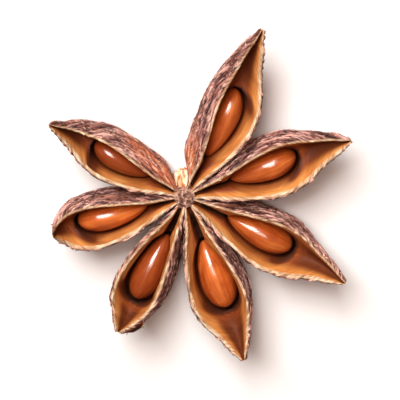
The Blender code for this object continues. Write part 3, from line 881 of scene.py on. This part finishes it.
def chip_tree():
    """Scatters thin chips that lie along a surface's grain, where it is marked as flaking."""
    tree = bpy.data.node_groups.new("scattered_chips", "GeometryNodeTree")
    for label, kind in {
        "Surface": "NodeSocketGeometry",
        "Chips per Square Metre": NUMBER,
        "Smallest Chip": DIRECTION,
        "Largest Chip": DIRECTION,
        "Paleness": NUMBER,
        "Material": "NodeSocketMaterial",
        "Seed": "NodeSocketInt",
    }.items():
        tree.interface.new_socket(label, in_out="INPUT", socket_type=kind)
    tree.interface.new_socket("Chips", in_out="OUTPUT", socket_type="NodeSocketGeometry")
    given = tree.nodes.new("NodeGroupInput").outputs
    flaking, crest = (
        node(tree, "GeometryNodeInputNamedAttribute", {"Name": name}, data_type="FLOAT").outputs["Attribute"]
        for name in ("flaking", "crest")
    )
    grain = node(tree, "GeometryNodeInputNamedAttribute", {"Name": "grain"}, data_type="FLOAT_VECTOR")
    density = maths(tree, "MULTIPLY", given["Chips per Square Metre"], flaking)
    spread = node(tree, "GeometryNodeDistributePointsOnFaces", {
        "Mesh": given["Surface"],
        "Density": density,
        "Seed": given["Seed"],
    })
    paler = node(tree, "GeometryNodeStoreNamedAttribute", {
        "Geometry": spread.outputs["Points"],
        "Name": "crest",
        "Value": maths(tree, "ADD", crest, given["Paleness"]),
    }, data_type="FLOAT")
    turn = node(tree, "FunctionNodeAxesToRotation", {
        "Primary Axis": grain.outputs["Attribute"],
        "Secondary Axis": spread.outputs["Normal"],
    }, primary_axis="X", secondary_axis="Z")
    sizes = {0: given["Smallest Chip"], 1: given["Largest Chip"], "Seed": given["Seed"]}
    size = node(tree, "FunctionNodeRandomValue", sizes, data_type="FLOAT_VECTOR")
    chip = node(tree, "GeometryNodeMeshIcoSphere", {"Radius": 1.0, "Subdivisions": 1})
    placed_chips = node(tree, "GeometryNodeInstanceOnPoints", {
        "Points": paler.outputs["Geometry"],
        "Instance": chip.outputs["Mesh"],
        "Rotation": turn.outputs["Rotation"],
        "Scale": size.outputs[0],
    })
    real = node(tree, "GeometryNodeRealizeInstances", {"Geometry": placed_chips.outputs["Instances"]})
    finished = node(tree, "GeometryNodeSetMaterial", {
        "Geometry": real.outputs["Geometry"],
        "Material": given["Material"],
    })
    node(tree, "NodeGroupOutput", {"Chips": finished.outputs["Geometry"]})
    return tree


def scattered(name, tree, surfaces, **values):
    """The chips that the tree scatters over these objects, as one plain mesh."""
    joined = bmesh.new()
    for obj in surfaces:
        joined.from_mesh(obj.data)
    data = bpy.data.meshes.new(name)
    joined.to_mesh(data)
    joined.free()
    obj = linked(name, data)
    scatter = obj.modifiers.new("scatter", "NODES")
    scatter.node_group = tree
    inputs = [socket for socket in tree.interface.items_tree if socket.in_out == "INPUT"]
    sockets = {socket.name: socket.identifier for socket in inputs}
    for label, value in values.items():
        scatter[sockets[label.replace("_", " ")]] = value
    graph = bpy.context.evaluated_depsgraph_get()
    chips = bpy.data.meshes.new_from_object(obj.evaluated_get(graph))
    obj.modifiers.clear()
    obj.data = chips
    return obj


def stand_in_for(obj, nodes):
    """Puts a piece on the pod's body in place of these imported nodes."""
    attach(obj, "root")
    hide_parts(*nodes)


def build_pod():
    """The carpels, the column and the stub, with loose flakes and splinters."""
    husk = husk_material()
    hulls = []
    for number, carpel in enumerate(CARPELS, start=1):
        hulls.append(carpel_surface(carpel, number).object(f"carpel_{number}", husk))
    inputs = {"Run": DIRECTION, "Crest": NUMBER, "Stretch": DIRECTION, "Scale": NUMBER}
    grain = effect_group("wood_grain", inputs, {"Paleness": NUMBER, "Height": NUMBER}, grain_effect)
    cracked = grained_material("cracked_knob", grain, [
        (0.28, (0.035, 0.014, 0.010)),
        (0.45, (0.150, 0.062, 0.042)),
        (0.60, (0.400, 0.205, 0.140)),
        (0.74, (0.700, 0.480, 0.370)),
    ], 0.85, (1.0, 1.0, 1.0), 2.0)
    knob = column_surface().object("column_with_stalk", cracked)
    splintered = grained_material("splintered_wood", grain, [
        (0.24, (0.420, 0.100, 0.035)),
        (0.36, (0.680, 0.320, 0.130)),
        (0.50, (0.840, 0.600, 0.360)),
        (0.66, (0.930, 0.800, 0.590)),
    ], 0.8, (0.5, 3.0, 1.2), 1.4)
    stub = stub_surface().object("broken_stub", splintered)
    chips = chip_tree()
    flakes = scattered(
        "hull_flakes", chips, hulls, Material=husk, Paleness=0.2, Seed=7,
        Chips_per_Square_Metre=FLAKES_PER_SQUARE_METRE, Smallest_Chip=SMALLEST_FLAKE,
        Largest_Chip=LARGEST_FLAKE,
    )
    splinters = scattered(
        "stub_splinters", chips, [stub], Material=splintered, Paleness=0.0, Seed=3,
        Chips_per_Square_Metre=SPLINTERS_PER_SQUARE_METRE, Smallest_Chip=SMALLEST_SPLINTER,
        Largest_Chip=LARGEST_SPLINTER,
    )
    for obj in (*hulls, knob, stub, flakes, splinters):
        stand_in_for(obj, ["pod"])


def build_seeds():
    """A glossy seed in each carpel."""
    gloss = seed_material()
    for number, carpel in enumerate(CARPELS, start=1):
        obj = seed_surface(carpel, number).object(f"glossy_seed_{number}", gloss)
        stand_in_for(obj, [f"seed_{number}"])


def build_floor():
    """The pale table under the pod."""
    data = bpy.data.meshes.new("white_table")
    half = 0.5 * TABLE_WIDTH
    corners = [(-half, -half, 0), (half, -half, 0), (half, half, 0), (-half, half, 0)]
    data.from_pydata(corners, [], [(0, 1, 2, 3)])
    material, tree, shader = new_material("white_table")
    place = node(tree, "ShaderNodeTexCoord").outputs["Object"]
    mottle = node(tree, "ShaderNodeTexNoise", {"Vector": place, "Scale": 60.0}).outputs["Fac"]
    white = ramp(tree, mottle, [(0.3, (0.86, 0.85, 0.84)), (0.7, (0.90, 0.89, 0.88))])
    tree.links.new(white, shader.inputs["Base Color"])
    shader.inputs["Roughness"].default_value = 0.6
    data.materials.append(material)
    floor = linked("white_table", data)


def set_camera():
    """The photograph's view of the pod."""
    right = Vector((1.0, 0.0, 0.0))
    up = Vector((0.0, math.cos(VIEW_TILT), -math.sin(VIEW_TILT)))
    back = Vector((0.0, math.sin(VIEW_TILT), math.cos(VIEW_TILT)))
    data = bpy.data.cameras.new("camera")
    data.lens, data.sensor_width = LENS, SENSOR
    data.clip_start, data.clip_end = 0.01, 10.0
    camera = linked("camera", data)
    turn = Matrix((right, up, back)).transposed().to_4x4()
    turn.translation = (VIEW_CENTRE + back * VIEW_WIDTH * LENS / SENSOR) * MM
    camera.matrix_world = turn
    bpy.context.scene.camera = camera


def add_lamp(name, place, size, power, colour):
    """A square soft lamp that faces the pod."""
    data = bpy.data.lights.new(name, "AREA")
    data.size, data.energy, data.color = size, power, colour
    lamp = linked(name, data)
    lamp.location = place
    lamp.rotation_euler = (LAMPS_FACE - Vector(place)).to_track_quat("-Z", "Y").to_euler()


def set_light():
    """Two soft lamps and the dim warm light of a room."""
    for name, lamp in LAMPS.items():
        add_lamp(name, *lamp)
    world = bpy.data.worlds.new("pale_room")
    world.use_nodes = True
    background = world.node_tree.nodes["Background"]
    background.inputs["Color"].default_value = ROOM_COLOUR
    background.inputs["Strength"].default_value = ROOM_STRENGTH
    bpy.context.scene.world = world
    bpy.context.scene.view_settings.view_transform = "Standard"


build_pod()
build_seeds()
build_floor()
set_camera()
set_light()
